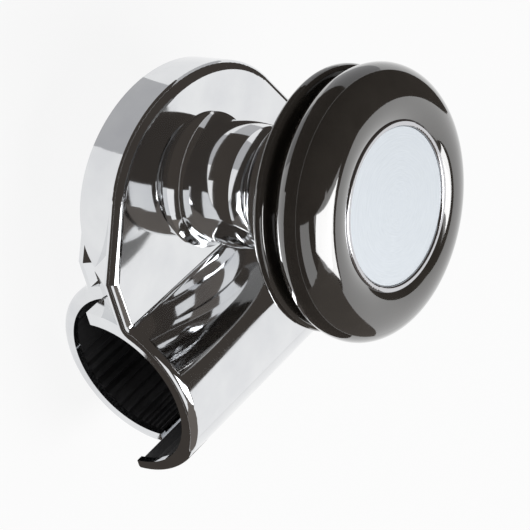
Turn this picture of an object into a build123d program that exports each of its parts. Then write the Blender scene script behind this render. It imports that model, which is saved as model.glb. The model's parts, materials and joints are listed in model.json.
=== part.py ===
"""Spinner knob with a clamp for a padded tube.

The origin is on the axis of the clamp's bore, midway along it. X runs along the bore, +Y points
from the knob axis to the bore, and +Z is the direction in which the knob stands up from the clamp.
"""
import os
from math import acos, asin, cos, degrees, pi, radians, sin, sqrt, tan

from build123d import *

os.makedirs("parts", exist_ok=True)

# Clamp, from the tube that it grips outwards
rim_radius = 16.0
liner_wall = 1.0
liner_end_setback = 1.5
liner_end_gap = 0.1
saddle_wall = 2.1
saddle_half_length = 32.0
saddle_lip_clearance = 0.3
split_gap = 0.6
liner_split_gap = 1.2
seat_gap = 0.01

# Head of the bracket
head_side_setback = 5.0
head_border = 8.2
head_thickness = 9.5
foot_margin = 0.1
head_edge_round = 1.8
crease_radius = 1.2

# Flanks of both clamp halves, with their angles in degrees
flank_turn = 25.0
flank_land = 0.4
flank_slope = 36.0
waist_setback = 1.5

# Rear jaw
jaw_spread = 6.0
jaw_end_setback = 8.5
jaw_thickness = 7.5
jaw_edge_round = 1.5
heel_depth = 3.0
heel_half_width = 7.5
heel_setback = 2.0

# Clamp screws
screw_radius = 2.5
screw_clearance = 0.25
screw_head_radius = 4.25
screw_head_height = 4.4
screw_head_bevel = 0.4
screw_head_recess = 0.1
screw_pocket_clearance = 0.85
screw_side_wall = 1.0
screw_nut_wall = 0.3
screw_lead = 6.6
screw_socket_width = 4.0
screw_socket_depth = 2.6
screw_bite = 6.6
screw_hole_spare = 0.8
clamp_washer_border = 0.35
clamp_washer_thickness = 1.1
clamp_washer_slot = 1.2

# Spindle, with its nut and washers
spindle_play = 0.03
spindle_hole_clearance = 0.2
spindle_head_height = 2.4
spindle_head_round = 0.6
spindle_tip_bevel = 0.65
spindle_socket_width = 5.0
spindle_socket_depth = 1.5
spindle_end_gap = 0.3
nut_width = 13.0
nut_height = 4.0
nut_pocket_clearance = 1.1
spindle_washer_border = 0.5
spindle_washer_thickness = 1.0
spindle_washer_slot = 1.4
thrust_washer_thickness = 0.8

# Stem
stem_foot_radius = 13.1
stem_foot_edge = 0.5
stem_waist_radius = 11.6
stem_waist_height = 4.6
stem_barrel_radius = 12.1
stem_barrel_height = 9.2
stem_neck_radius = 11.6
stem_neck_drop = 7.5
stem_flare_height = 21.5
stem_collar_height = 6.8
stem_lip_wall = 2.0
stem_spigot_radius = 8.0
stem_spigot_depth = 2.0
stem_boss_height = 0.5
seal_clearance = 1.4
seal_wall = 2.0
seal_depth = 1.1
seal_gap = 0.3
seal_edge_round = 0.5

# Ball bearings
bearing_width = 5.0
bearing_outer_radius = 8.0
bearing_bore_share = 0.5
bearing_spacing = 2.0
race_share = 0.325
race_round = 0.3
race_groove_depth = 0.45
race_shoulder_gap = 0.5
race_support_setback = 0.1
ball_clearance = 0.05
ball_count = 8
cage_share = 0.64
cage_ball_clearance = 0.1
cage_rail = 0.3

# Bearing housing
housing_wall = 1.8
housing_lip = 0.8
housing_shoulder = 1.0
housing_end_gap = 0.3
housing_clearance = 0.4
housing_overhang = 0.6

# Knob
knob_radius = 25.6
knob_front_height = 12.2
knob_inner_cut = 3.7
knob_rear_cut = 0.6
knob_crest = 2.0
knob_groove_height = 0.8
knob_groove_depth = 0.45
knob_clearance = 0.6
skirt_setback = 0.9
skirt_thickness = 3.1
skirt_edge_land = 0.2
skirt_rim_width = 6.3
skirt_dish_depth = 0.7
cap_radius = 14.4
cap_thickness = 1.2
cap_crown = 0.35
cap_gap = 0.1
cap_underside_gap = 1.4
bezel_wall = 1.2
bezel_height = 1.6
bezel_edge_round = 0.4

# Clamp sizes that follow from the ones above
split_half = split_gap / 2
head_top = split_half + head_thickness
liner_seat_radius = rim_radius + liner_wall
saddle_radius = liner_seat_radius + saddle_wall
saddle_lip_radius = rim_radius + saddle_lip_clearance
head_crease_y = -sqrt((saddle_radius + crease_radius) ** 2 - (head_top + crease_radius) ** 2)
knob_y = head_crease_y - foot_margin - stem_foot_radius
head_half_width = saddle_half_length - head_side_setback
head_half_depth = stem_foot_radius + head_border
jaw_half_depth = head_half_depth - jaw_end_setback
jaw_bottom = -split_half - jaw_thickness
screw_pocket_radius = screw_head_radius + screw_pocket_clearance
clamp_washer_radius = screw_head_radius + clamp_washer_border
screw_head_bottom = jaw_bottom + screw_head_recess
screw_head_top = screw_head_bottom + screw_head_height
screw_seat = screw_head_top + clamp_washer_thickness
nut_corner_radius = nut_width / 2 / cos(pi / 6)
nut_pocket_radius = nut_corner_radius + nut_pocket_clearance
nut_seat = split_half + nut_height + spindle_washer_thickness
screw_x = nut_pocket_radius + screw_nut_wall + screw_radius
jaw_half_width = screw_x + screw_pocket_radius + screw_side_wall
jaw_half_length = jaw_half_width + jaw_spread

# Bearing, spindle and housing radii, from the bore outwards
bearing_bore_radius = bearing_outer_radius * bearing_bore_share
race_wall = (bearing_outer_radius - bearing_bore_radius) * race_share
inner_race_radius = bearing_bore_radius + race_wall
outer_race_bore_radius = bearing_outer_radius - race_wall
race_opening = outer_race_bore_radius - inner_race_radius
race_support_radius = inner_race_radius - race_support_setback
ball_circle_radius = (inner_race_radius + outer_race_bore_radius) / 2
ball_groove_radius = race_opening / 2 + race_groove_depth
ball_radius = ball_groove_radius - ball_clearance
cage_wall = race_opening * cage_share
cage_width = 2 * (ball_radius + cage_ball_clearance + cage_rail)
spindle_radius = bearing_bore_radius - spindle_play
spindle_hole_radius = bearing_bore_radius + spindle_hole_clearance
spindle_head_radius = outer_race_bore_radius - race_shoulder_gap
housing_radius = bearing_outer_radius + housing_wall
housing_lip_radius = bearing_outer_radius - housing_lip
spindle_pocket_radius = housing_radius - housing_shoulder
seal_inner_radius = housing_radius + seal_clearance
seal_outer_radius = seal_inner_radius + seal_wall
stem_recess_radius = housing_radius + housing_clearance
stem_lip_radius = seal_outer_radius + stem_lip_wall

# Levels and radii of the knob, from the stem up to the cap and down again through the bearings
stem_top = head_top + stem_flare_height + stem_collar_height
seal_bottom = stem_top - seal_depth
skirt_bottom = stem_top + knob_clearance
skirt_top = skirt_bottom + skirt_thickness
skirt_radius = knob_radius - skirt_setback
skirt_edge_round = (skirt_thickness - skirt_dish_depth - skirt_edge_land) / 2
groove_top = skirt_top + knob_groove_height
knob_front = skirt_top + knob_front_height
recess_radius = cap_radius + cap_gap + bezel_wall
bulge_width = (knob_radius - recess_radius + knob_inner_cut) / 2
bulge_height = (knob_front - groove_top + knob_rear_cut) / 2
cap_seat = knob_front - knob_crest
spindle_head_top = cap_seat - cap_underside_gap
spindle_head_bottom = spindle_head_top - spindle_head_height
upper_bearing_top = spindle_head_bottom - thrust_washer_thickness
upper_bearing_bottom = upper_bearing_top - bearing_width
lower_bearing_top = upper_bearing_bottom - bearing_spacing
lower_bearing_bottom = lower_bearing_top - bearing_width
housing_bottom = lower_bearing_bottom + housing_end_gap
housing_top = upper_bearing_top + housing_overhang
stem_recess_floor = lower_bearing_bottom - stem_boss_height

KNOB_AXIS = Axis((0, knob_y, 0), (0, 0, 1))
PROFILE = Plane(origin=(0, knob_y, 0), x_dir=(1, 0, 0), z_dir=(0, -1, 0))
SCREW_PLACES = [(-screw_x, knob_y + screw_lead), (screw_x, knob_y + screw_lead)]


def at_knob(level):
    """Plane across the knob axis at a height above the bore's axis."""
    return Plane(origin=(0, knob_y, level))


def flank_line(half_length, half_width, half_depth):
    """Points of the flanks that spread from a clamp half's oval nose to the ends of its shell."""
    turn = radians(flank_turn)
    start_x = half_width * cos(turn)
    start_y = knob_y - half_depth * sin(turn)
    corner_y = start_y + (half_length - start_x) * half_depth / (half_width * tan(turn))
    right = [(start_x, start_y), (half_length, corner_y), (half_length, 0)]
    return right + [(-x, y) for x, y in reversed(right)]


def half_disc(radius, side, gap):
    """Sketch what a gap across the bore leaves of a disc; side is 1 in front and -1 behind it."""
    Circle(radius)
    with Locations((0, side * (gap / 2 - radius))):
        Rectangle(3 * radius, 2 * radius, mode=Mode.SUBTRACT)


def bore(plane, radius, depth, places=((0, 0),)):
    """Cut round holes of one radius and depth from a plane."""
    with BuildSketch(plane) as holes:
        with Locations(*places):
            Circle(radius)
    extrude(holes.sketch, amount=depth, mode=Mode.SUBTRACT)


def clamp_half(side, half_length, half_width, half_depth, thickness, edge_round):
    """Build the plate and the half shell of one clamp half; side is 1 in front and -1 behind the bore."""
    face_level = side * (split_half + thickness)
    land_level = face_level - side * (edge_round + flank_land)
    crease = (0, -sqrt(saddle_radius**2 - face_level**2), face_level)
    flanks = flank_line(half_length, half_width, half_depth)
    with BuildSketch(Plane.XY.offset(land_level)) as face_plan:
        with BuildLine():
            EllipticalCenterArc(
                (0, knob_y), half_width, half_depth, 180 + flank_turn, arc_size=180 - 2 * flank_turn
            )
            Polyline(*flanks)
        make_face()
    extrude(face_plan.sketch, amount=face_level - land_level)
    with BuildSketch(Plane.XY.offset(side * split_half)) as core_plan:
        with Locations((0, knob_y)):
            Ellipse(half_width, half_depth)
        with Locations((0, knob_y / 2)):
            Rectangle(2 * (half_width - waist_setback), -knob_y)
    extrude(core_plan.sketch, amount=side * thickness)
    with BuildSketch(Plane.YZ) as shell:
        half_disc(saddle_radius, side, split_gap)
    extrude(shell.sketch, amount=half_length, both=True)
    fillet(edges().filter_by(Axis.X).sort_by_distance(crease)[0], crease_radius)
    plate_face = faces().filter_by(Plane.XY).sort_by_distance((0, knob_y, face_level))[0]
    fillet(plate_face.edges().filter_by(Axis.X, reverse=True), edge_round)
    with BuildSketch(Plane.XY.offset(land_level)) as flank_plan:
        with BuildLine():
            Polyline(*flanks, close=True)
        make_face()
    extrude(flank_plan.sketch, amount=side * split_half - land_level, taper=flank_slope)
    bore(Plane.YZ, saddle_lip_radius, half_length)
    bore(Plane.YZ, saddle_lip_radius, -half_length)
    bore(Plane.YZ, liner_seat_radius, half_length - liner_end_setback + liner_end_gap)
    bore(Plane.YZ, liner_seat_radius, -half_length + liner_end_setback - liner_end_gap)


def split_ring(radius, bore_radius, slot):
    """Sketch a spring washer, with its slot on the side that faces away from the bore."""
    Circle(radius)
    Circle(bore_radius, mode=Mode.SUBTRACT)
    with Locations((0, -radius)):
        Rectangle(slot, 2 * radius, mode=Mode.SUBTRACT)


# Front bracket: oval head, undercut flanks that spread to the clamp, and saddle over the bore
with BuildPart() as front_bracket:
    clamp_half(
        1, saddle_half_length, head_half_width, head_half_depth, head_thickness, head_edge_round
    )
    bore(at_knob(head_top), stem_spigot_radius + seat_gap, -stem_spigot_depth)
    bore(at_knob(split_half), spindle_hole_radius, head_thickness)
    bore(at_knob(split_half), nut_pocket_radius, nut_seat - split_half)
    bore(Plane.XY.offset(split_half), screw_radius + seat_gap, screw_bite + screw_hole_spare, SCREW_PLACES)
front_bracket.part.label = "front_bracket"
export_step(front_bracket.part, "parts/front_bracket.step")

# Rear jaw: plate under the head, heel that props it off the head, and shell behind the bore
with BuildPart() as rear_jaw:
    clamp_half(-1, jaw_half_length, jaw_half_width, jaw_half_depth, jaw_thickness, jaw_edge_round)
    with BuildSketch(Plane.XY.offset(-split_half)):
        with Locations((0, knob_y - jaw_half_depth + heel_setback + heel_depth / 2)):
            SlotOverall(2 * heel_half_width, heel_depth)
    extrude(amount=split_gap)
    bore(Plane.XY.offset(jaw_bottom), screw_radius + screw_clearance, jaw_thickness, SCREW_PLACES)
    bore(Plane.XY.offset(jaw_bottom), screw_pocket_radius, screw_seat - jaw_bottom, SCREW_PLACES)
rear_jaw.part.label = "rear_jaw"
export_step(rear_jaw.part, "parts/rear_jaw.step")


def liner_strip(side, half_length):
    """Rubber strip that lines one half of the clamp; side is 1 in front and -1 behind the bore."""
    with BuildPart() as strip:
        with BuildSketch(Plane.YZ):
            half_disc(liner_seat_radius, side, liner_split_gap)
            Circle(rim_radius, mode=Mode.SUBTRACT)
        extrude(amount=half_length - liner_end_setback, both=True)
    return strip


front_liner = liner_strip(1, saddle_half_length)
front_liner.part.label = "front_liner"
export_step(front_liner.part, "parts/front_liner.step")

rear_liner = liner_strip(-1, jaw_half_length)
rear_liner.part.label = "rear_liner"
export_step(rear_liner.part, "parts/rear_liner.step")

# Clamp screws: socket heads in the rear jaw, shanks up into the head
with BuildPart() as clamp_screws:
    with BuildSketch(Plane.XY.offset(screw_head_top)):
        with Locations(*SCREW_PLACES):
            Circle(screw_radius)
    extrude(amount=split_half + screw_bite - screw_head_top)
    with BuildSketch(Plane.XY.offset(screw_head_bottom)):
        with Locations(*SCREW_PLACES):
            Circle(screw_head_radius)
    extrude(amount=screw_head_height)
    chamfer(clamp_screws.edges().group_by(Axis.Z)[0], screw_head_bevel)
    with BuildSketch(Plane.XY.offset(screw_head_bottom)):
        with Locations(*SCREW_PLACES):
            RegularPolygon(screw_socket_width / 2, 6, major_radius=False)
    extrude(amount=screw_socket_depth, mode=Mode.SUBTRACT)
clamp_screws.part.label = "clamp_screws"
export_step(clamp_screws.part, "parts/clamp_screws.step")

# Split spring washers under the heads of the clamp screws
with BuildPart() as clamp_washers:
    with BuildSketch(Plane.XY.offset(screw_head_top)):
        with Locations(*SCREW_PLACES):
            split_ring(clamp_washer_radius, screw_radius + screw_clearance, clamp_washer_slot)
    extrude(amount=clamp_washer_thickness)
clamp_washers.part.label = "clamp_washers"
export_step(clamp_washers.part, "parts/clamp_washers.step")

# Stem: turned foot, barrel and trumpet that carries the lower bearing
with BuildPart() as stem:
    with BuildSketch(PROFILE):
        with BuildLine():
            foot_bottom = head_top - stem_spigot_depth
            waist = (stem_waist_radius, head_top + stem_waist_height)
            neck = (stem_neck_radius, head_top + stem_flare_height - stem_neck_drop)
            lip = (stem_lip_radius, head_top + stem_flare_height)
            foot = (stem_foot_radius, head_top + stem_foot_edge)
            foot_width = stem_foot_radius - stem_waist_radius
            foot_height = stem_waist_height - stem_foot_edge
            foot_sweep = (foot_width**2 + foot_height**2) / (2 * foot_width)
            lip_width = stem_lip_radius - stem_neck_radius
            lip_sweep = (lip_width**2 + stem_neck_drop**2) / (2 * lip_width)
            Polyline(
                (spindle_hole_radius, foot_bottom),
                (stem_spigot_radius, foot_bottom),
                (stem_spigot_radius, head_top),
                (stem_foot_radius, head_top),
                foot,
            )
            RadiusArc(foot, waist, foot_sweep)
            ThreePointArc(waist, (stem_barrel_radius, head_top + stem_barrel_height), neck)
            RadiusArc(neck, lip, lip_sweep)
            Polyline(
                lip,
                (stem_lip_radius, stem_top),
                (seal_outer_radius + seat_gap, stem_top),
                (seal_outer_radius + seat_gap, seal_bottom),
                (stem_recess_radius, seal_bottom),
                (stem_recess_radius, stem_recess_floor),
                (race_support_radius, stem_recess_floor),
                (race_support_radius, lower_bearing_bottom),
                (spindle_hole_radius, lower_bearing_bottom),
                (spindle_hole_radius, foot_bottom),
            )
        make_face()
    revolve(axis=KNOB_AXIS)
stem.part.label = "stem"
export_step(stem.part, "parts/stem.step")

# Stem seal: rubber ring in the mouth of the trumpet
with BuildPart() as stem_seal:
    with BuildSketch(at_knob(seal_bottom)):
        Circle(seal_outer_radius)
        Circle(seal_inner_radius, mode=Mode.SUBTRACT)
    extrude(amount=skirt_bottom - seal_gap - seal_bottom)
    fillet(stem_seal.edges().group_by(Axis.Z)[-1], seal_edge_round)
stem_seal.part.label = "stem_seal"
export_step(stem_seal.part, "parts/stem_seal.step")

# Spindle: shoulder screw from above the bearings down to the nut behind the head
with BuildPart() as spindle:
    with BuildSketch(at_knob(split_half + spindle_end_gap)):
        Circle(spindle_radius)
    extrude(amount=spindle_head_bottom - split_half - spindle_end_gap)
    with BuildSketch(at_knob(spindle_head_bottom)):
        Circle(spindle_head_radius)
    extrude(amount=spindle_head_height)
    fillet(spindle.edges().group_by(Axis.Z)[-1], spindle_head_round)
    chamfer(spindle.edges().group_by(Axis.Z)[0], spindle_tip_bevel)
    with BuildSketch(at_knob(spindle_head_top)):
        RegularPolygon(spindle_socket_width / 2, 6, major_radius=False)
    extrude(amount=-spindle_socket_depth, mode=Mode.SUBTRACT)
spindle.part.label = "spindle"
export_step(spindle.part, "parts/spindle.step")

# Spindle nut in its pocket, with the spring washer above it
with BuildPart() as spindle_nut:
    with BuildSketch(at_knob(split_half)):
        RegularPolygon(nut_width / 2, 6, major_radius=False)
        Circle(spindle_radius + spindle_play, mode=Mode.SUBTRACT)
    extrude(amount=nut_height)
spindle_nut.part.label = "spindle_nut"
export_step(spindle_nut.part, "parts/spindle_nut.step")

with BuildPart() as spindle_lock_washer:
    with BuildSketch(at_knob(split_half + nut_height)):
        split_ring(nut_width / 2 + spindle_washer_border, spindle_hole_radius, spindle_washer_slot)
    extrude(amount=spindle_washer_thickness)
spindle_lock_washer.part.label = "spindle_lock_washer"
export_step(spindle_lock_washer.part, "parts/spindle_lock_washer.step")

# Thrust washer between the spindle head and the upper bearing
with BuildPart() as thrust_washer:
    with BuildSketch(at_knob(upper_bearing_top)):
        Circle(spindle_head_radius)
        Circle(spindle_hole_radius, mode=Mode.SUBTRACT)
    extrude(amount=thrust_washer_thickness)
thrust_washer.part.label = "thrust_washer"
export_step(thrust_washer.part, "parts/thrust_washer.step")

# Ball bearings: the inner races stand still on the spindle and the outer ones turn with the knob
for bearing, level in (("lower", lower_bearing_bottom), ("upper", upper_bearing_bottom)):
    mid_level = level + bearing_width / 2

    with BuildPart() as inner_race:
        with BuildSketch(PROFILE):
            with Locations(((bearing_bore_radius + inner_race_radius) / 2, mid_level)):
                RectangleRounded(inner_race_radius - bearing_bore_radius, bearing_width, race_round)
            with Locations((ball_circle_radius, mid_level)):
                Circle(ball_groove_radius, mode=Mode.SUBTRACT)
        revolve(axis=KNOB_AXIS)
    inner_race.part.label = f"{bearing}_inner_race"
    export_step(inner_race.part, f"parts/{bearing}_inner_race.step")

    with BuildPart() as outer_race:
        outer_race_radius = bearing_outer_radius - seat_gap
        with BuildSketch(PROFILE):
            with Locations(((outer_race_bore_radius + outer_race_radius) / 2, mid_level)):
                RectangleRounded(outer_race_radius - outer_race_bore_radius, bearing_width, race_round)
            with Locations((ball_circle_radius, mid_level)):
                Circle(ball_groove_radius, mode=Mode.SUBTRACT)
        revolve(axis=KNOB_AXIS)
    outer_race.part.label = f"{bearing}_outer_race"
    export_step(outer_race.part, f"parts/{bearing}_outer_race.step")

    with BuildPart() as cage:
        with BuildSketch(at_knob(mid_level - cage_width / 2)):
            Circle(ball_circle_radius + cage_wall / 2)
            Circle(ball_circle_radius - cage_wall / 2, mode=Mode.SUBTRACT)
        extrude(amount=cage_width)
        with Locations(at_knob(mid_level)):
            with PolarLocations(ball_circle_radius, ball_count):
                Cylinder(
                    ball_radius + cage_ball_clearance, 2 * cage_wall, rotation=(0, 90, 0), mode=Mode.SUBTRACT
                )
    cage.part.label = f"{bearing}_cage"
    export_step(cage.part, f"parts/{bearing}_cage.step")

    with BuildPart() as balls:
        with Locations(at_knob(mid_level)):
            with PolarLocations(ball_circle_radius, ball_count):
                Sphere(ball_radius)
    balls.part.label = f"{bearing}_balls"
    export_step(balls.part, f"parts/{bearing}_balls.step")

# Spacer sleeve between the inner races
with BuildPart() as bearing_spacer:
    with BuildSketch(at_knob(lower_bearing_top)):
        Circle(race_support_radius)
        Circle(spindle_hole_radius, mode=Mode.SUBTRACT)
    extrude(amount=bearing_spacing)
bearing_spacer.part.label = "bearing_spacer"
export_step(bearing_spacer.part, "parts/bearing_spacer.step")

# Bearing housing: sleeve in the knob with a lip between the outer races
with BuildPart() as bearing_housing:
    with BuildSketch(PROFILE):
        with BuildLine():
            Polyline(
                (bearing_outer_radius, housing_bottom),
                (housing_radius, housing_bottom),
                (housing_radius, housing_top),
                (bearing_outer_radius, housing_top),
                (bearing_outer_radius, upper_bearing_bottom),
                (housing_lip_radius, upper_bearing_bottom),
                (housing_lip_radius, lower_bearing_top),
                (bearing_outer_radius, lower_bearing_top),
                (bearing_outer_radius, housing_bottom),
            )
        make_face()
    revolve(axis=KNOB_AXIS)
bearing_housing.part.label = "bearing_housing"
export_step(bearing_housing.part, "parts/bearing_housing.step")

# Skirt: thin rear flange of the knob, dished underneath
with BuildPart() as knob_skirt:
    with BuildSketch(PROFILE):
        with BuildLine():
            Polyline(
                (housing_radius + seat_gap, skirt_top),
                (housing_radius + seat_gap, skirt_bottom),
                (skirt_radius - skirt_rim_width, skirt_bottom),
                (skirt_radius, skirt_bottom + skirt_dish_depth),
                (skirt_radius, skirt_top),
                (housing_radius + seat_gap, skirt_top),
            )
        make_face()
    revolve(axis=KNOB_AXIS)
    circles = knob_skirt.edges().filter_by(GeomType.CIRCLE)
    fillet(circles.group_by(SortBy.RADIUS)[-1], skirt_edge_round)
knob_skirt.part.label = "knob_skirt"
export_step(knob_skirt.part, "parts/knob_skirt.step")

# Knob body: rolled front ring with a recess for the cap and a bore for the bearing housing
with BuildPart() as knob_body:
    ring_middle = knob_front - bulge_height
    ring_radius = knob_radius - bulge_width
    groove_share = (ring_middle - groove_top) / bulge_height
    recess_share = (ring_radius - recess_radius) / bulge_width
    groove_angle = -degrees(asin(groove_share))
    recess_angle = degrees(acos(-recess_share))
    groove_lip = ring_radius + bulge_width * sqrt(1 - groove_share**2)
    recess_lip = ring_middle + bulge_height * sqrt(1 - recess_share**2)
    with BuildSketch(PROFILE):
        with BuildLine():
            EllipticalCenterArc(
                (ring_radius, ring_middle),
                bulge_width,
                bulge_height,
                groove_angle,
                arc_size=recess_angle - groove_angle,
            )
            Polyline(
                (recess_radius, recess_lip),
                (recess_radius, cap_seat),
                (spindle_pocket_radius, cap_seat),
                (spindle_pocket_radius, housing_top),
                (housing_radius, housing_top),
                (housing_radius, skirt_top),
                (groove_lip - knob_groove_depth, skirt_top),
                (groove_lip - knob_groove_depth, groove_top),
                (groove_lip, groove_top),
            )
        make_face()
    revolve(axis=KNOB_AXIS)
knob_body.part.label = "knob_body"
export_step(knob_body.part, "parts/knob_body.step")

# Cap disc: faintly crowned metal insert in the front of the knob
with BuildPart() as cap_disc:
    with BuildSketch(PROFILE):
        with BuildLine():
            cap_edge_top = cap_seat + cap_thickness
            Polyline(
                (0, cap_edge_top + cap_crown),
                (0, cap_seat),
                (cap_radius, cap_seat),
                (cap_radius, cap_edge_top),
            )
            crown_sweep = (cap_radius**2 + cap_crown**2) / (2 * cap_crown)
            RadiusArc((cap_radius, cap_edge_top), (0, cap_edge_top + cap_crown), -crown_sweep)
        make_face()
    revolve(axis=KNOB_AXIS)
cap_disc.part.label = "cap_disc"
export_step(cap_disc.part, "parts/cap_disc.step")

# Cap bezel: thin rounded ring between the cap disc and the knob
with BuildPart() as cap_bezel:
    with BuildSketch(at_knob(cap_seat)):
        Circle(recess_radius - seat_gap)
        Circle(cap_radius + cap_gap, mode=Mode.SUBTRACT)
    extrude(amount=bezel_height)
    fillet(cap_bezel.edges().group_by(Axis.Z)[-1], bezel_edge_round)
cap_bezel.part.label = "cap_bezel"
export_step(cap_bezel.part, "parts/cap_bezel.step")
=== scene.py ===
"""Studio scene of a clamp-on spinner knob.

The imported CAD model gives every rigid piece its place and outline. This script gives each piece its
finish, and makes the ribbed rubber liners and the knurled edges of the clamp screws. A softbox and a white
tent light it. Polished metal looks like what stands round it, so dark panels leave only a door and a
window of the tent white.
"""

from __future__ import annotations

import json
import logging
import math
from abc import ABC, abstractmethod
from dataclasses import dataclass, field
from enum import Enum
from typing import Any, Mapping, Sequence

import bpy
from mathutils import Matrix, Vector

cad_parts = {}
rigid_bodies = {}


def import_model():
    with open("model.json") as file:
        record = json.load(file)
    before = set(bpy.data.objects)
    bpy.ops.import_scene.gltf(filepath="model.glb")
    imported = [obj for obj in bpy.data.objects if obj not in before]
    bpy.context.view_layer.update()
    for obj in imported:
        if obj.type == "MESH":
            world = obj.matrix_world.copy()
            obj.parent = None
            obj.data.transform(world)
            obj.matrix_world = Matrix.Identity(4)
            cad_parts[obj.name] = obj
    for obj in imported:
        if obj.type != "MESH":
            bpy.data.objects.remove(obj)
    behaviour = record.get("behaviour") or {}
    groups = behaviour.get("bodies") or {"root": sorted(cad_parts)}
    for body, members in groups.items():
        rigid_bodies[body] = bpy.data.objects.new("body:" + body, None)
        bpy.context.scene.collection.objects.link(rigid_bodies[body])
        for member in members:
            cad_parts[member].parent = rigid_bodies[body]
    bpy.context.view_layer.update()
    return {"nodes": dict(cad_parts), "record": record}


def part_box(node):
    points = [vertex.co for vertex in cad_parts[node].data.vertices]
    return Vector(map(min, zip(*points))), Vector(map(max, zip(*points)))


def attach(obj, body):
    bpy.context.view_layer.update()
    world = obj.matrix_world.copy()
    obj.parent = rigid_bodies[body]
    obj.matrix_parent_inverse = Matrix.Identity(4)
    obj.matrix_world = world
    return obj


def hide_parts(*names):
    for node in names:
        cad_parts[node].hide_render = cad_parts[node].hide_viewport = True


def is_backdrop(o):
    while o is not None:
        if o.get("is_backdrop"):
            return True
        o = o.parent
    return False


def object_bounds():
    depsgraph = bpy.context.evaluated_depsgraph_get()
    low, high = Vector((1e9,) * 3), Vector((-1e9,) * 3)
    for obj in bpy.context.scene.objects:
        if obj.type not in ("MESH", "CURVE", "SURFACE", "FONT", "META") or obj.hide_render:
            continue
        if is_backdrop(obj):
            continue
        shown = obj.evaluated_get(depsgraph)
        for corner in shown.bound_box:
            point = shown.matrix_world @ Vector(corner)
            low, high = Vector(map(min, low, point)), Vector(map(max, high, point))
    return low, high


LOG = logging.getLogger("spinner_knob")

# A millimetre, in metres
MM = 0.001

# Ends of the range that holds most values of a noise texture
NOISE_LOW = 0.3
NOISE_HIGH = 0.7

Colour = tuple[float, float, float, float]
Inputs = Mapping[int | str, Any]
Socket = bpy.types.NodeSocket

WHITE: Colour = (1.0, 1.0, 1.0, 1.0)


class Marks(Enum):
    """Tool marks on metal, by the factors that stretch the surface's coordinates along them.

    Attributes:
        BUFFED: Lines along the clamp's bore.
        TURNED: Rings about the knob axis.
        CAST: Spots without a direction.
    """

    BUFFED = (0.03, 1.0, 1.0)
    TURNED = (1.0, 1.0, 0.15)
    CAST = (1.0, 1.0, 1.0)


class Cloth(Enum):
    """Cloths of the panels and the cards, by their red, green and blue."""

    BLACK = (0.056, 0.048, 0.042)
    BROWN = (0.160, 0.142, 0.128)
    GREY = (0.50, 0.50, 0.51)


@dataclass(frozen=True)
class Layout:
    """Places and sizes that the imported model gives, in metres.

    Attributes:
        knob_axis: Point on the knob's spin axis, at the height of the bore's axis.
        bore_radius: Radius of the tube that the clamp fits.
    """

    knob_axis: Vector
    bore_radius: float

    @classmethod
    def from_frame(cls, record: Mapping[str, Any]) -> "Layout":
        """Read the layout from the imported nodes.

        Args:
            record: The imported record, which holds the clamp's mount.

        Returns:
            The layout of this part.
        """
        low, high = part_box("stem")
        mount = record["mounts"][0]
        return cls(
            knob_axis=Vector(((low.x + high.x) / 2, (low.y + high.y) / 2, 0.0)),
            bore_radius=mount["dims"]["r_mm"] * MM,
        )


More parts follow.
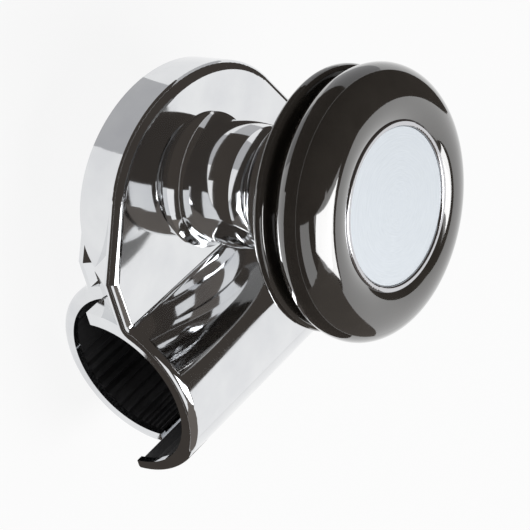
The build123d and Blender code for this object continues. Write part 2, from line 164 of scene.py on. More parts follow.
class Graph:
    """Adds nodes to one node tree and wires them up."""

    def __init__(self, tree: bpy.types.NodeTree) -> None:
        """Keep the tree that the nodes go into."""
        self.tree = tree

    def add(self, kind: str, inputs: Inputs | None = None, **settings: Any) -> bpy.types.Node:
        """Add a node.

        Args:
            kind: Blender's name of the node's type.
            inputs: Value or source socket for each input, by name or number.
            settings: Properties of the node itself.

        Returns:
            The new node.
        """
        node = self.tree.nodes.new(kind)
        for name, value in settings.items():
            setattr(node, name, value)
        for key, value in (inputs or {}).items():
            self.feed(node.inputs[key], value)
        return node

    def out(self, kind: str, inputs: Inputs | None = None, **settings: Any) -> Socket:
        """Add a node as add does, and return its first output."""
        return self.add(kind, inputs, **settings).outputs[0]

    def feed(self, socket: Socket, value: Any) -> None:
        """Link a source socket to an input, or set the input's value.

        Args:
            socket: Input to feed.
            value: Source socket or plain value.
        """
        if isinstance(value, Socket):
            self.tree.links.new(value, socket)
        else:
            socket.default_value = value

    def math(self, operation: str, *values: Any) -> Socket:
        """Add a Math node and return its result."""
        return self.out("ShaderNodeMath", dict(enumerate(values)), operation=operation)

    def vector(self, operation: str, *values: Any) -> Socket:
        """Add a Vector Math node and return its vector."""
        return self.out("ShaderNodeVectorMath", dict(enumerate(values)), operation=operation)

    def scaled(self, vector: Socket, factors: Sequence[float]) -> Socket:
        """Multiply a vector by a factor for each axis."""
        return self.vector("MULTIPLY", vector, tuple(factors))

    def parts(self, vector: Socket) -> tuple[Socket, ...]:
        """Split a vector into its three numbers."""
        return tuple(self.add("ShaderNodeSeparateXYZ", {0: vector}).outputs)

    def joined(self, x: Any, y: Any, z: Any) -> Socket:
        """Make a vector from three numbers."""
        return self.out("ShaderNodeCombineXYZ", {0: x, 1: y, 2: z})

    def noise(self, vector: Socket, scale: float, detail: float) -> Socket:
        """Add a noise texture.

        Args:
            vector: Place on the surface.
            scale: Spots in each unit of the vector.
            detail: Number of finer layers.

        Returns:
            Socket with a value of about 0.5 on average.
        """
        return self.out("ShaderNodeTexNoise", {"Vector": vector, "Scale": scale, "Detail": detail})

    def spread(self, noise: Socket, low: float, high: float) -> Socket:
        """Stretch the middle of a noise to a range.

        Args:
            noise: Value of a noise texture.
            low: Result at the low end of the noise's middle.
            high: Result at its high end.

        Returns:
            Socket with a value from low to high.
        """
        ends = {"From Min": NOISE_LOW, "From Max": NOISE_HIGH, "To Min": low, "To Max": high}
        return self.out("ShaderNodeMapRange", {"Value": noise, **ends}, clamp=True)

    def blend(self, share: Any, first: Colour, second: Colour) -> Socket:
        """Mix two colours.

        Args:
            share: Share of the second colour.
            first: Colour at a share of 0.
            second: Colour at a share of 1.

        Returns:
            Socket with the mixed colour.
        """
        node = self.add("ShaderNodeMix", data_type="RGBA")
        for name, value in (("Factor_Float", share), ("A_Color", first), ("B_Color", second)):
            self.feed(next(s for s in node.inputs if s.identifier == name), value)
        return next(s for s in node.outputs if s.identifier == "Result_Color")

    def either(self, test: Socket, without: Any, within: Any) -> Socket:
        """Choose between two numbers.

        Args:
            test: Socket that says which one.
            without: Number where the test fails.
            within: Number where the test holds.

        Returns:
            Socket with the chosen number.
        """
        inputs = {"Switch": test, "False": without, "True": within}
        return self.out("GeometryNodeSwitch", inputs, input_type="FLOAT")

    def moved(self, geometry: Socket, move: str, value: Any) -> Socket:
        """Give geometry a Translation or a Rotation by a vector."""
        return self.out("GeometryNodeTransform", {0: geometry, move: value})

    def repeated(self, points: Socket, item: Socket) -> Socket:
        """Put an instance of an item on each point."""
        return self.out("GeometryNodeInstanceOnPoints", {"Points": points, "Instance": item})


@dataclass(frozen=True)
class Surface:
    """Coordinates that a finish paints by, in millimetres.

    Attributes:
        place: Place on the piece.
        turned: Radius and height about the knob axis, with the angle in radians last.
    """

    place: Socket
    turned: Socket

    @classmethod
    def about(cls, graph: Graph, axis: Vector) -> "Surface":
        """Make the coordinates about the knob axis.

        Args:
            graph: Graph of the material.
            axis: Point on the knob axis, in metres.

        Returns:
            The coordinates.
        """
        coordinates = graph.add("ShaderNodeTexCoord").outputs["Object"]
        place = graph.scaled(coordinates, (1 / MM,) * 3)
        offset = graph.vector("SUBTRACT", place, tuple(axis / MM))
        across, along, height = graph.parts(offset)
        squares = [graph.math("MULTIPLY", side, side) for side in (across, along)]
        radius = graph.math("SQRT", graph.math("ADD", *squares))
        turned = graph.joined(radius, height, graph.math("ARCTAN2", along, across))
        return cls(place, turned)


@dataclass(frozen=True)
class Finish(ABC):
    """A material for one slot of the record.

    Attributes:
        slot: Slot of the record.
        label: Name of the material.
        colour: Main colour.
        stain: Colour of the faint clouds or rings in it.
        gloss: Lowest and highest roughness.
    """

    # slot: Slot of the record; not used.
    slot: str
    label: str
    colour: Colour
    stain: Colour
    gloss: tuple[float, float]

    def material(self, axis: Vector) -> bpy.types.Material:
        """Build the material, or find it if it was built before.

        Args:
            axis: Point on the knob axis, in metres.

        Returns:
            The material.
        """
        found = bpy.data.materials.get(self.label)
        if found is not None:
            return found
        material = bpy.data.materials.new(self.label)
        material.use_nodes = True
        graph = Graph(material.node_tree)
        shader = next(n for n in material.node_tree.nodes if n.type == "BSDF_PRINCIPLED")
        self.paint(graph, shader, Surface.about(graph, axis))
        return material

    @abstractmethod
    def paint(self, graph: Graph, shader: bpy.types.Node, surface: Surface) -> None:
        """Feed the shader of this finish.

        Args:
            graph: Graph of the material.
            shader: Shader to feed.
            surface: Coordinates on the piece.
        """

    def skin(self, graph: Graph, shader: bpy.types.Node, stains: Socket, wear: Socket) -> None:
        """Feed the colour and the roughness.

        Args:
            graph: Graph of the material.
            shader: Shader to feed.
            stains: Noise that blends the two colours.
            wear: Noise that sets the roughness.
        """
        share = graph.spread(stains, 0.0, 1.0)
        graph.feed(shader.inputs["Base Color"], graph.blend(share, self.colour, self.stain))
        graph.feed(shader.inputs["Roughness"], graph.spread(wear, *self.gloss))

    @staticmethod
    def relief(graph: Graph, shader: bpy.types.Node, height: Socket, depth: float) -> None:
        """Raise the surface by a height pattern.

        Args:
            graph: Graph of the material.
            shader: Shader that takes the normal.
            height: Pattern from 0 to 1.
            depth: Height of the pattern, in millimetres.
        """
        bump = graph.out("ShaderNodeBump", {"Strength": 1.0, "Distance": depth * MM, "Height": height})
        graph.feed(shader.inputs["Normal"], bump)


@dataclass(frozen=True)
class Metal(Finish):
    """Bare metal with tool marks, faint stains and a gloss that wanders a little.

    Attributes:
        marks: Kind of the tool marks.
        mark_pitch: Marks in each millimetre across them.
        mark_depth: Depth of the marks, in millimetres.
        mark_detail: Number of finer layers in the marks.
        cloud_pitch: Stains in each millimetre.
        cloud_detail: Number of finer layers in the stains.
    """

    marks: Marks
    mark_pitch: float
    mark_depth: float
    mark_detail: float = 4.0
    cloud_pitch: float = 0.12
    cloud_detail: float = 3.0

    def paint(self, graph: Graph, shader: bpy.types.Node, surface: Surface) -> None:
        """Feed the metal's colour, gloss and tool marks.

        Args:
            graph: Graph of the material.
            shader: Shader to feed.
            surface: Coordinates on the piece.
        """
        shader.inputs["Metallic"].default_value = 1.0
        place = surface.turned if self.marks is Marks.TURNED else surface.place
        lines = graph.noise(graph.scaled(place, self.marks.value), self.mark_pitch, self.mark_detail)
        cloud = graph.noise(surface.place, self.cloud_pitch, self.cloud_detail)
        mean = graph.math("MULTIPLY", graph.math("ADD", cloud, lines), 0.5)
        self.skin(graph, shader, cloud, mean)
        self.relief(graph, shader, lines, self.mark_depth)


@dataclass(frozen=True)
class Moulding(Finish):
    """Moulded plastic or rubber with a fine grain.

    Attributes:
        grain_pitch: Grains in each millimetre.
        grain_depth: Depth of the grain, in millimetres.
        grain_detail: Number of finer layers in the grain.
        cloud_pitch: Stains in each millimetre.
        cloud_detail: Number of finer layers in the stains.
        coat: Share of clear gloss on top.
        coat_roughness: Roughness of that gloss.
        index: Refractive index of the surface and of the gloss.
    """

    grain_pitch: float
    grain_depth: float
    grain_detail: float = 2.0
    cloud_pitch: float = 0.2
    cloud_detail: float = 4.0
    coat: float = 0.0
    coat_roughness: float = 0.03
    index: float = 1.5

    def paint(self, graph: Graph, shader: bpy.types.Node, surface: Surface) -> None:
        """Feed the moulding's colour, gloss and grain.

        Args:
            graph: Graph of the material.
            shader: Shader to feed.
            surface: Coordinates on the piece.
        """
        shader.inputs["Coat Weight"].default_value = self.coat
        shader.inputs["Coat Roughness"].default_value = self.coat_roughness
        shader.inputs["Coat IOR"].default_value = self.index
        shader.inputs["IOR"].default_value = self.index
        cloud = graph.noise(surface.place, self.cloud_pitch, self.cloud_detail)
        grain = graph.noise(surface.place, self.grain_pitch, self.grain_detail)
        self.skin(graph, shader, cloud, cloud)
        self.relief(graph, shader, grain, self.grain_depth)


@dataclass(frozen=True)
class SatinDisc(Finish):
    """Pale satin surface, brushed in rings.

    Attributes:
        metallic: Share of metal in the surface.
        ring_stretch: Factors that stretch the surface's coordinates along the rings.
        ring_pitch: Rings in each millimetre across them.
        ring_depth: Depth of the rings, in millimetres.
        ring_detail: Number of finer layers in the rings.
    """

    metallic: float = 0.12
    ring_stretch: tuple[float, float, float] = (1.0, 1.0, 0.4)
    ring_pitch: float = 9.0
    ring_depth: float = 0.0006
    ring_detail: float = 5.0

    def paint(self, graph: Graph, shader: bpy.types.Node, surface: Surface) -> None:
        """Feed the disc's colour, gloss and brushed rings.

        Args:
            graph: Graph of the material.
            shader: Shader to feed.
            surface: Coordinates on the piece.
        """
        shader.inputs["Metallic"].default_value = self.metallic
        place = graph.scaled(surface.turned, self.ring_stretch)
        rings = graph.noise(place, self.ring_pitch, self.ring_detail)
        self.skin(graph, shader, rings, rings)
        self.relief(graph, shader, rings, self.ring_depth)


class Finishes:
    """The finishes of this object, by the record's slots."""

    BRACKET = Metal(
        "polished_steel", "mirror_steel", (0.78, 0.79, 0.80, 1), (0.71, 0.72, 0.74, 1), (0.03, 0.09),
        marks=Marks.BUFFED, mark_pitch=2.5, mark_depth=0.0002,
    )
    STEM = Metal(
        "polished_steel", "turned_mirror_steel", (0.78, 0.79, 0.80, 1), (0.71, 0.72, 0.74, 1), (0.05, 0.10),
        marks=Marks.TURNED, mark_pitch=3.0, mark_depth=0.00008,
    )
    FASTENER = Metal(
        "fastener_steel", "fastener_steel", (0.60, 0.60, 0.61, 1), (0.48, 0.48, 0.50, 1), (0.22, 0.36),
        marks=Marks.CAST, mark_pitch=2.0, mark_depth=0.002,
    )
    BEARING = Metal(
        "bearing_steel", "bearing_steel", (0.70, 0.70, 0.71, 1), (0.62, 0.63, 0.65, 1), (0.08, 0.16),
        marks=Marks.TURNED, mark_pitch=6.0, mark_depth=0.0002,
    )
    HOUSING = Metal(
        "housing_aluminium", "turned_aluminium", (0.80, 0.80, 0.81, 1), (0.70, 0.71, 0.73, 1), (0.24, 0.34),
        marks=Marks.TURNED, mark_pitch=4.0, mark_depth=0.002,
    )
    BEZEL = Metal(
        "bezel_steel", "bezel_steel", (0.44, 0.45, 0.48, 1), (0.36, 0.37, 0.40, 1), (0.12, 0.22),
        marks=Marks.TURNED, mark_pitch=5.0, mark_depth=0.0005,
    )
    RUBBER = Moulding(
        "rubber", "black_rubber", (0.030, 0.030, 0.032, 1), (0.050, 0.050, 0.052, 1), (0.62, 0.80),
        grain_pitch=3.0, grain_depth=0.02,
    )
    CAGE = Moulding(
        "cage_plastic", "cage_nylon", (0.62, 0.56, 0.44, 1), (0.54, 0.48, 0.37, 1), (0.40, 0.52),
        grain_pitch=2.0, grain_depth=0.005,
    )
    KNOB = Moulding(
        "knob_black", "gloss_black", (0.022, 0.019, 0.016, 1), (0.030, 0.026, 0.022, 1), (0.05, 0.10),
        grain_pitch=0.5, grain_depth=0.0006, coat=1.0, index=1.75,
    )
    CAP = SatinDisc("cap_satin", "satin_cap", (0.80, 0.85, 0.90, 1), (0.72, 0.77, 0.82, 1), (0.36, 0.50))


def add_object(name: str, data: bpy.types.ID) -> bpy.types.Object:
    """Make an object of a mesh, a light or a camera and put it in the scene.

    Args:
        name: Name of the object.
        data: Its mesh, light or camera.

    Returns:
        The new object.
    """
    made = bpy.data.objects.new(name, data)
    bpy.context.scene.collection.objects.link(made)
    return made


@dataclass
class SubAssembly(ABC):
    """A group of pieces that are dressed together.

    Attributes:
        layout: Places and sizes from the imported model.
        nodes: CAD nodes by name.
    """

    layout: Layout
    nodes: Mapping[str, bpy.types.Object]

    @abstractmethod
    def build(self) -> None:
        """Make and dress the pieces of the group."""

    def dress(self, finish: Finish, *names: str) -> None:
        """Give CAD nodes a finish.

        Args:
            finish: Finish to use.
            names: Names of the nodes.
        """
        for name in names:
            node = self.nodes[name]
            node.data.materials.clear()
            node.data.materials.append(finish.material(self.layout.knob_axis))
            LOG.info("%s: %s", name, finish.label)

    def piece(self, name: str, mesh: bpy.types.Mesh, finish: Finish, body: str) -> bpy.types.Object:
        """Add a finished mesh to the scene.

        Args:
            name: Name of the piece.
            mesh: Mesh with its place in its vertices.
            finish: Finish to use.
            body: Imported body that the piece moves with.

        Returns:
            The new object.
        """
        mesh.name = name
        mesh.materials.clear()
        mesh.materials.append(finish.material(self.layout.knob_axis))
        made = add_object(name, mesh)
        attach(made, body)
        LOG.info("%s: %d faces, %s", name, len(mesh.polygons), finish.label)
        return made


class Recipe:
    """A Geometry Nodes tree with named sizes, which bakes to a plain mesh."""

    def __init__(self, name: str, sizes: Mapping[str, float | int]) -> None:
        """Start the tree.

        Args:
            name: Name of the tree.
            sizes: Named inputs, with an int for a count.
        """
        self.tree = bpy.data.node_groups.new(name, "GeometryNodeTree")
        self.graph = Graph(self.tree)
        self.sizes = dict(sizes)
        self.identifiers: dict[str, str] = {}
        for label, value in sizes.items():
            kind = "NodeSocketInt" if isinstance(value, int) else "NodeSocketFloat"
            socket = self.tree.interface.new_socket(label, in_out="INPUT", socket_type=kind)
            self.identifiers[label] = socket.identifier
        self.tree.interface.new_socket("Geometry", in_out="OUTPUT", socket_type="NodeSocketGeometry")
        self.source = self.graph.add("NodeGroupInput")

    def size(self, label: str) -> Socket:
        """Give the socket of a named input."""
        return next(s for s in self.source.outputs if s.identifier == self.identifiers[label])

    def finish(self, geometry: Socket, material: bpy.types.Material) -> None:
        """End the tree with plain geometry in one material.

        Args:
            geometry: Geometry of the whole shape.
            material: Material of the shape.
        """
        real = self.graph.out("GeometryNodeRealizeInstances", {0: geometry})
        painted = self.graph.out("GeometryNodeSetMaterial", {0: real, "Material": material})
        self.graph.add("NodeGroupOutput", {0: painted})

    def bake(self) -> bpy.types.Mesh:
        """Run the tree with its sizes.

        Returns:
            The resulting mesh.
        """
        carrier = add_object(self.tree.name, bpy.data.meshes.new(self.tree.name))
        modifier = carrier.modifiers.new(self.tree.name, "NODES")
        modifier.node_group = self.tree
        for label, value in self.sizes.items():
            modifier[self.identifiers[label]] = value
        evaluated = carrier.evaluated_get(bpy.context.evaluated_depsgraph_get())
        mesh = bpy.data.meshes.new_from_object(evaluated)
        bpy.data.objects.remove(carrier)
        return mesh


@dataclass
class ClampGroup(SubAssembly):
    """Bracket, rear jaw, ribbed liners, and the clamp screws with their washers.

    Attributes:
        body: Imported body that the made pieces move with.
        groove_count: Grooves across each liner.
        groove_depth: Depth of the liner's grooves, in metres.
        groove_points: Points that draw each groove.
        knurl_count: Ridges round each screw head.
        knurl_sides: Sides of a ridge.
        knurl_radius: Radius of a ridge, in metres.
        knurl_length: Length of a ridge, in metres.
        knurl_level: Height of the ridges' middle over the screws' lowest point, in metres.
    """

    body: str = "clamp"
    groove_count: int = 22
    groove_depth: float = 0.35 * MM
    groove_points: int = 8
    knurl_count: int = 44
    knurl_sides: int = 6
    knurl_radius: float = 0.22 * MM
    knurl_length: float = 3.2 * MM
    knurl_level: float = 2.2 * MM

    def build(self) -> None:
        """Dress the clamp and make its liners and knurls."""
        self.dress(Finishes.BRACKET, "front_bracket", "rear_jaw")
        self.dress(Finishes.FASTENER, "clamp_screws", "clamp_washers")
        for name in ("front_liner", "rear_liner"):
            liner = self.piece(f"ribbed_{name}", self.ribbed_liner(name), Finishes.RUBBER, self.body)
            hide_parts(name)
        self.piece("screw_head_knurls", self.knurls(), Finishes.FASTENER, self.body)

    def ribbed_liner(self, name: str) -> bpy.types.Mesh:
        """Make a liner with grooves that run along the bore.

        Args:
            name: Name of the plain liner's node.

        Returns:
            The liner's mesh.
        """
        low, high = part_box(name)
        recipe = Recipe(
            "ribbed_liner",
            {
                "Inner radius": self.layout.bore_radius,
                "Outer radius": max(high.z, -low.z),
                "Half length": high.x,
                "Edge gap": min(abs(low.z), abs(high.z)),
                "Groove depth": self.groove_depth,
                "Grooves": self.groove_count,
                "Points per side": self.groove_count * self.groove_points + 1,
                "Side": 1.0 if high.z > -low.z else -1.0,
            },
        )
        graph = recipe.graph
        upright = self.liner_prism(recipe, self.liner_outline(recipe))
        laid = graph.moved(upright, "Rotation", (math.pi / 2, 0.0, math.pi / 2))
        roll = graph.math("MULTIPLY", graph.math("SUBTRACT", 1.0, recipe.size("Side")), math.pi / 2)
        placed = graph.moved(laid, "Rotation", graph.joined(roll, 0.0, 0.0))
        recipe.finish(placed, Finishes.RUBBER.material(self.layout.knob_axis))
        return recipe.bake()

    def liner_outline(self, recipe: Recipe) -> Socket:
        """Draw the liner's section: the grooved inside one way and the smooth outside back.

        Args:
            recipe: Recipe with the liner's sizes.

        Returns:
            Socket with the closed curve.
        """
        graph = recipe.graph
        count = recipe.size("Points per side")
        last = graph.math("SUBTRACT", count, 1.0)
        index = graph.out("GeometryNodeInputIndex")
        outside = graph.math("GREATER_THAN", index, graph.math("SUBTRACT", count, 0.5))
        way_back = graph.math("SUBTRACT", graph.math("ADD", count, last), index)
        share = graph.math("DIVIDE", graph.either(outside, index, way_back), last)
        gap_share = graph.math("DIVIDE", recipe.size("Edge gap"), recipe.size("Outer radius"))
        start = graph.math("ARCSINE", gap_share)
        arc = graph.math("SUBTRACT", math.pi, graph.math("MULTIPLY", start, 2.0))
        angle = graph.math("ADD", start, graph.math("MULTIPLY", share, arc))
        turns = graph.math("MULTIPLY", graph.math("MULTIPLY", share, recipe.size("Grooves")), math.tau)
        groove = graph.math("MULTIPLY", graph.math("SUBTRACT", 1.0, graph.math("COSINE", turns)), 0.5)
        depth = graph.math("MULTIPLY", groove, recipe.size("Groove depth"))
        inner = graph.math("ADD", recipe.size("Inner radius"), depth)
        radius = graph.either(outside, inner, recipe.size("Outer radius"))
        across = graph.math("MULTIPLY", radius, graph.math("COSINE", angle))
        up = graph.math("MULTIPLY", radius, graph.math("SINE", angle))
        points = graph.math("MULTIPLY", count, 2.0)
        ring = graph.out("GeometryNodeCurvePrimitiveCircle", {"Resolution": points})
        return graph.out("GeometryNodeSetPosition", {0: ring, "Position": graph.joined(across, up, 0.0)})

    def liner_prism(self, recipe: Recipe, outline: Socket) -> Socket:
        """Raise the liner's section to a closed prism that stands upright about the origin.

        Args:
            recipe: Recipe with the liner's sizes.
            outline: Closed curve of the section.

        Returns:
            Socket with the prism.
        """
        graph = recipe.graph
        half_length = recipe.size("Half length")
        fill = graph.out("GeometryNodeFillCurve", {0: outline}, mode="NGONS")
        rise = {
            "Mesh": fill,
            "Offset": graph.joined(0.0, 0.0, 1.0),
            "Offset Scale": graph.math("MULTIPLY", half_length, 2.0),
            "Individual": False,
        }
        walls = graph.out("GeometryNodeExtrudeMesh", rise, mode="FACES")
        bottom = graph.out("GeometryNodeFlipFaces", {0: fill})
        both = graph.add("GeometryNodeJoinGeometry")
        for shape in (bottom, walls):
            graph.tree.links.new(shape, both.inputs[0])
        solid = graph.out("GeometryNodeMergeByDistance", {0: both.outputs[0]})
        drop = graph.math("MULTIPLY", half_length, -1.0)
        return graph.moved(solid, "Translation", graph.joined(0.0, 0.0, drop))

    def knurls(self) -> bpy.types.Mesh:
        """Make the ridges round both screw heads.

        Returns:
            The ridges' mesh.
        """
        low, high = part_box("clamp_screws")
        head_radius = (high.y - low.y) / 2
        recipe = Recipe(
            "screw_head_knurls",
            {
                "Head radius": head_radius,
                "Ridge radius": self.knurl_radius,
                "Ridge length": self.knurl_length,
                "Ridges": self.knurl_count,
                "Ridge sides": self.knurl_sides,
                "Spacing": high.x - low.x - 2 * head_radius,
                "Row": (low.y + high.y) / 2,
                "Level": low.z + self.knurl_level,
            },
        )
        graph = recipe.graph
        radius = recipe.size("Ridge radius")
        length = recipe.size("Ridge length")
        spacing = recipe.size("Spacing")
        rod = {
            "Vertices": recipe.size("Ridge sides"),
            "Radius Top": radius,
            "Radius Bottom": radius,
            "Depth": length,
        }
        drop = graph.joined(0.0, 0.0, graph.math("MULTIPLY", length, -0.5))
        ridge = graph.moved(graph.out("GeometryNodeMeshCone", rod), "Translation", drop)
        edge = {"Vertices": recipe.size("Ridges"), "Radius": recipe.size("Head radius")}
        head = graph.repeated(graph.out("GeometryNodeMeshCircle", edge), ridge)
        pair = {"Count": 2, "Offset": graph.joined(spacing, 0.0, 0.0)}
        heads = graph.repeated(graph.out("GeometryNodeMeshLine", pair), head)
        first = graph.joined(graph.math("MULTIPLY", spacing, -0.5), recipe.size("Row"), recipe.size("Level"))
        placed = graph.moved(heads, "Translation", first)
        recipe.finish(placed, Finishes.FASTENER.material(self.layout.knob_axis))
        return recipe.bake()


@dataclass
class StemGroup(SubAssembly):
    """Stem with its seal, and the spindle with its nut and washers."""

    def build(self) -> None:
        """Dress the stem and the spindle."""
        self.dress(Finishes.STEM, "stem")
        self.dress(Finishes.RUBBER, "stem_seal")
        self.dress(Finishes.FASTENER, "spindle", "spindle_nut", "spindle_lock_washer", "thrust_washer")


@dataclass
class BearingGroup(SubAssembly):
    """Both ball bearings and the spacer between them."""

    def build(self) -> None:
        """Dress the races, balls and cages."""
        for level in ("lower", "upper"):
            self.dress(Finishes.BEARING, f"{level}_inner_race", f"{level}_outer_race", f"{level}_balls")
            self.dress(Finishes.CAGE, f"{level}_cage")
        self.dress(Finishes.BEARING, "bearing_spacer")


@dataclass
class KnobGroup(SubAssembly):
    """Knob with its skirt, bearing housing, cap and bezel."""

    def build(self) -> None:
        """Dress the turning pieces."""
        self.dress(Finishes.KNOB, "knob_body", "knob_skirt")
        self.dress(Finishes.HOUSING, "bearing_housing")
        self.dress(Finishes.CAP, "cap_disc")
        self.dress(Finishes.BEZEL, "cap_bezel")


def empty_material(label: str) -> tuple[bpy.types.Material, Graph]:
    """Make a material without nodes.

    Args:
        label: Name of the material.

    Returns:
        The material, and the graph that takes its nodes.
    """
    material = bpy.data.materials.new(label)
    material.use_nodes = True
    material.node_tree.nodes.clear()
    return material, Graph(material.node_tree)


def stage_object(
    name: str,
    corners: Sequence[tuple[float, float, float]],
    faces: Sequence[tuple[int, ...]],
    material: bpy.types.Material,
) -> bpy.types.Object:
    """Make an object of the stage, which isn't part of the knob.

    Args:
        name: Name of the object.
        corners: Corners of its mesh, in metres.
        faces: Corners of each face, by number.
        material: Material of the mesh.

    Returns:
        The new object.
    """
    mesh = bpy.data.meshes.new(name)
    mesh.from_pydata(corners, [], faces)
    mesh.materials.append(material)
    made = add_object(name, mesh)
    made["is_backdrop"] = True
    return made


@dataclass
class Studio:
    """Floor, light and camera.

    Attributes:
        aim: Point at the middle of the picture.
        view_from: Direction from the object to the camera.
        picture_right: Direction in the object's frame that points right in the picture.
        view_distance: Distance from the aim to the camera, in metres.
        lens: Focal length of the camera, in millimetres.
        sensor: Width of the camera's sensor, in millimetres.
        near: Shortest distance that the camera sees, in metres.
        far: Longest distance that the camera sees, in metres.
        key_from: Direction from the object to the softbox.
        key_along: Direction in which the softbox is long.
        key_length: Length of the softbox, in metres.
        key_depth: Depth of the softbox, in metres.
        key_distance: Distance from the aim to the softbox, in metres.
        key_power: Power of the softbox, in watts.
        tent_light: Strength of the even light that the tent gives.
        floor_half: Half the side of the floor, in metres.
        paper: Colour of the floor's paper.
        floor_white: Share of plain white in the floor that the camera and reflections see.
    """

    aim: Vector = field(default_factory=lambda: Vector((3.9, -14.9, 21.4)) * MM)
    view_from: Vector = field(default_factory=lambda: Vector((0.621, -0.506, 0.599)))
    picture_right: Vector = field(default_factory=lambda: Vector((-0.565, 0.241, 0.789)))
    view_distance: float = 0.407
    lens: float = 145.0
    sensor: float = 36.0
    near: float = 0.01
    far: float = 50.0
    key_from: Vector = field(default_factory=lambda: Vector((0.05, 0.26, 1.0)))
    key_along: Vector = field(default_factory=lambda: Vector((0.934, -0.358, 0.0)))
    key_length: float = 0.80
    key_depth: float = 0.32
    key_distance: float = 0.8
    key_power: float = 4.4
    tent_light: float = 0.33
    floor_half: float = 6.0
    paper: Colour = (0.86, 0.86, 0.86, 1.0)
    floor_white: float = 0.88

    def build(self) -> None:
        """Make the whole studio."""
        bpy.context.scene.view_settings.view_transform = "Standard"
        self.floor()
        self.world()
        self.softbox()
        self.camera()

    def stand(self, item: bpy.types.Object, away: Vector, along: Vector, distance: float) -> None:
        """Stand a camera or a light where it looks at the aim.

        Args:
            item: Camera or light.
            away: Direction from the aim to it.
            along: Direction in which its width lies.
            distance: Distance from the aim, in metres.
        """
        back = away.normalized()
        right = (along - back * along.dot(back)).normalized()
        turn = Matrix((right, back.cross(right), back)).transposed().to_4x4()
        item.matrix_world = Matrix.Translation(self.aim + back * distance) @ turn

    def camera(self) -> None:
        """Put the camera at the photograph's viewing angle."""
        data = bpy.data.cameras.new("camera")
        data.lens = self.lens
        data.sensor_width = self.sensor
        data.clip_start = self.near
        data.clip_end = self.far
        camera = add_object("camera", data)
        self.stand(camera, self.view_from, self.picture_right, self.view_distance)
        bpy.context.scene.camera = camera

    def softbox(self) -> None:
        """Hang the long softbox over the object."""
        data = bpy.data.lights.new("softbox", "AREA")
        data.shape = "RECTANGLE"
        data.size = self.key_length
        data.size_y = self.key_depth
        data.energy = self.key_power
        self.stand(add_object("softbox", data), self.key_from, self.key_along, self.key_distance)

    def floor(self) -> None:
        """Lay the pale floor at the object's lowest point."""
        material, graph = empty_material("floor_white")
        paper = graph.out("ShaderNodeBsdfDiffuse", {"Color": self.paper})
        glow = graph.out("ShaderNodeEmission", {"Color": WHITE, "Strength": 1.0})
        share = graph.math("MULTIPLY", self.background_rays(graph), self.floor_white)
        mix = graph.out("ShaderNodeMixShader", {0: share, 1: paper, 2: glow})
        graph.add("ShaderNodeOutputMaterial", {"Surface": mix})
        low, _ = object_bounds()
        half = self.floor_half
        corners = [(-half, -half, 0.0), (half, -half, 0.0), (half, half, 0.0), (-half, half, 0.0)]
        floor = stage_object("floor", corners, [(0, 1, 2, 3)], material)
        floor.location.z = low.z

    def world(self) -> None:
        """Light the tent evenly and show it white."""
        world = bpy.data.worlds.new("tent")
        world.use_nodes = True
        bpy.context.scene.world = world
        world.node_tree.nodes.clear()
        graph = Graph(world.node_tree)
        strength = graph.math("MAXIMUM", self.background_rays(graph), self.tent_light)
        tent = graph.out("ShaderNodeBackground", {"Color": WHITE, "Strength": strength})
        graph.add("ShaderNodeOutputWorld", {"Surface": tent})

    @staticmethod
    def background_rays(graph: Graph) -> Socket:
        """Tell the rays that should see the plain white background from those that gather light.

        Args:
            graph: Graph of the floor's material or of the world.

        Returns:
            Socket with 1 for a ray of the camera, of a reflection or through glass, and otherwise 0.
        """
        path = graph.add("ShaderNodeLightPath")
        seen = graph.math("MAXIMUM", path.outputs["Is Camera Ray"], path.outputs["Is Glossy Ray"])
        return graph.math("MAXIMUM", seen, path.outputs["Is Transmission Ray"])


@dataclass(frozen=True)
class Panel:
    """A panel of the tent's dome, with its sides in degrees.

    Attributes:
        name: Name of the panel.
        start: Turn from +X at which it starts.
        end: Turn at which it ends.
        low: Tilt of its lower edge.
        high: Tilt of its upper edge.
        cloth: Cloth that it is made of.
    """

    name: str
    start: float
    end: float
    low: float
    high: float
    cloth: Cloth


@dataclass(frozen=True)
class Card:
    """A card on the floor, which lies round the knob axis.

    Attributes:
        name: Name of the card.
        start: Turn from +X at which it starts, in degrees.
        end: Turn at which it ends, in degrees.
        inner: Inner radius, in metres.
        outer: Outer radius, in metres.
        cloth: Cloth that it is made of.
    """

    name: str
    start: float
    end: float
    inner: float
    outer: float
    cloth: Cloth


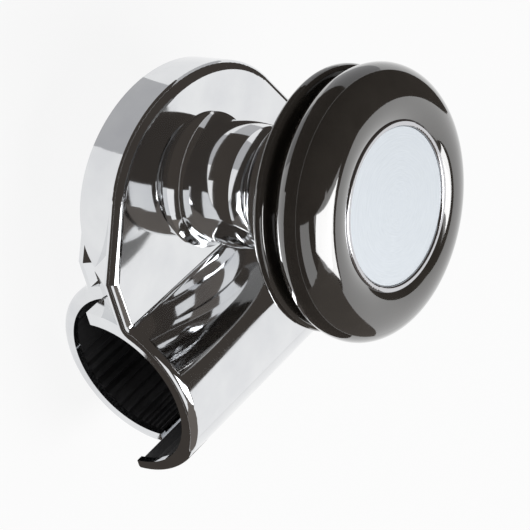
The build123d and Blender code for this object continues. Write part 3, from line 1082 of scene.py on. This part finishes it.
@dataclass
class Tent:
    """Dark panels and cards round the object, which only reflections show.

    Attributes:
        middle: Point on the knob axis.
        radius: Radius of the dome that the panels lie on, in metres.
        turn_steps: Faces along the turn of each panel or card.
        tilt_steps: Faces up each panel.
        panels: Panels, which leave a door and a window between them.
        card_lift: Height of the cards over the floor, in metres.
        cards: Cards on the floor.
    """

    middle: Vector
    radius: float = 1.6
    turn_steps: int = 48
    tilt_steps: int = 8
    panels: tuple[Panel, ...] = (
        Panel("panel_front", 158.0, 348.0, 0.0, 88.0, Cloth.BLACK),
        Panel("panel_under_window", 348.0, 398.0, 0.0, 16.0, Cloth.BLACK),
        Panel("panel_over_window", 348.0, 398.0, 44.0, 60.0, Cloth.BLACK),
        Panel("panel_back", 398.0, 470.0, 0.0, 60.0, Cloth.BROWN),
        Panel("panel_over_door", 110.0, 158.0, 50.0, 62.0, Cloth.BLACK),
    )
    card_lift: float = 0.5 * MM
    cards: tuple[Card, ...] = (
        Card("card_near", 240.0, 300.0, 0.030, 0.060, Cloth.GREY),
        Card("card_front", 235.0, 325.0, 0.060, 1.6, Cloth.BLACK),
        Card("card_right", 325.0, 455.0, 0.074, 1.6, Cloth.BLACK),
        Card("card_left", 200.0, 235.0, 0.066, 1.6, Cloth.GREY),
    )

    def build(self) -> None:
        """Hang the panels and lay the cards."""
        for panel in self.panels:
            tilts = self.angles(panel.low, panel.high, self.tilt_steps)
            rows = [(self.radius * math.cos(tilt), self.radius * math.sin(tilt)) for tilt in tilts]
            self.hang(panel, rows)
        low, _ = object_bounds()
        height = low.z + self.card_lift
        for card in self.cards:
            self.hang(card, [(card.inner, height), (card.outer, height)])

    @staticmethod
    def angles(start: float, end: float, steps: int) -> list[float]:
        """Divide a range of degrees into equal steps and give their ends in radians."""
        return [math.radians(start + (end - start) * step / steps) for step in range(steps + 1)]

    def hang(self, shape: Panel | Card, rows: Sequence[tuple[float, float]]) -> None:
        """Make a panel or card that turns round the knob axis and that only reflections show.

        Args:
            shape: Panel or card with its name, turn and cloth.
            rows: Radius and height of each of its rows of corners, in metres.
        """
        turns = self.angles(shape.start, shape.end, self.turn_steps)
        corners = [
            (self.middle.x + radius * math.cos(turn), self.middle.y + radius * math.sin(turn), height)
            for radius, height in rows
            for turn in turns
        ]
        wide = len(turns)
        firsts = [row * wide + step for row in range(len(rows) - 1) for step in range(self.turn_steps)]
        faces = [(first, first + 1, first + wide + 1, first + wide) for first in firsts]
        made = stage_object(shape.name, corners, faces, self.material(shape.cloth))
        made.visible_camera = False
        made.visible_diffuse = False
        made.visible_shadow = False
        made.visible_transmission = False

    @staticmethod
    def material(cloth: Cloth) -> bpy.types.Material:
        """Build the material of a cloth, or find it if it was built before.

        Args:
            cloth: Cloth to build.

        Returns:
            The material.
        """
        label = f"cloth_{cloth.name.lower()}"
        found = bpy.data.materials.get(label)
        if found is not None:
            return found
        material, graph = empty_material(label)
        glow = graph.out("ShaderNodeEmission", {"Color": (*cloth.value, 1.0), "Strength": 1.0})
        graph.add("ShaderNodeOutputMaterial", {"Surface": glow})
        return material


def main() -> None:
    """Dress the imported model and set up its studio."""
    logging.basicConfig(level=logging.INFO, format="%(name)s: %(message)s")
    for leftover in list(bpy.data.objects):
        bpy.data.objects.remove(leftover)
    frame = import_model()
    layout = Layout.from_frame(frame["record"])
    for group in (ClampGroup, StemGroup, BearingGroup, KnobGroup):
        group(layout, frame["nodes"]).build()
    Studio().build()
    Tent(layout.knob_axis).build()


if __name__ == "__main__":
    main()
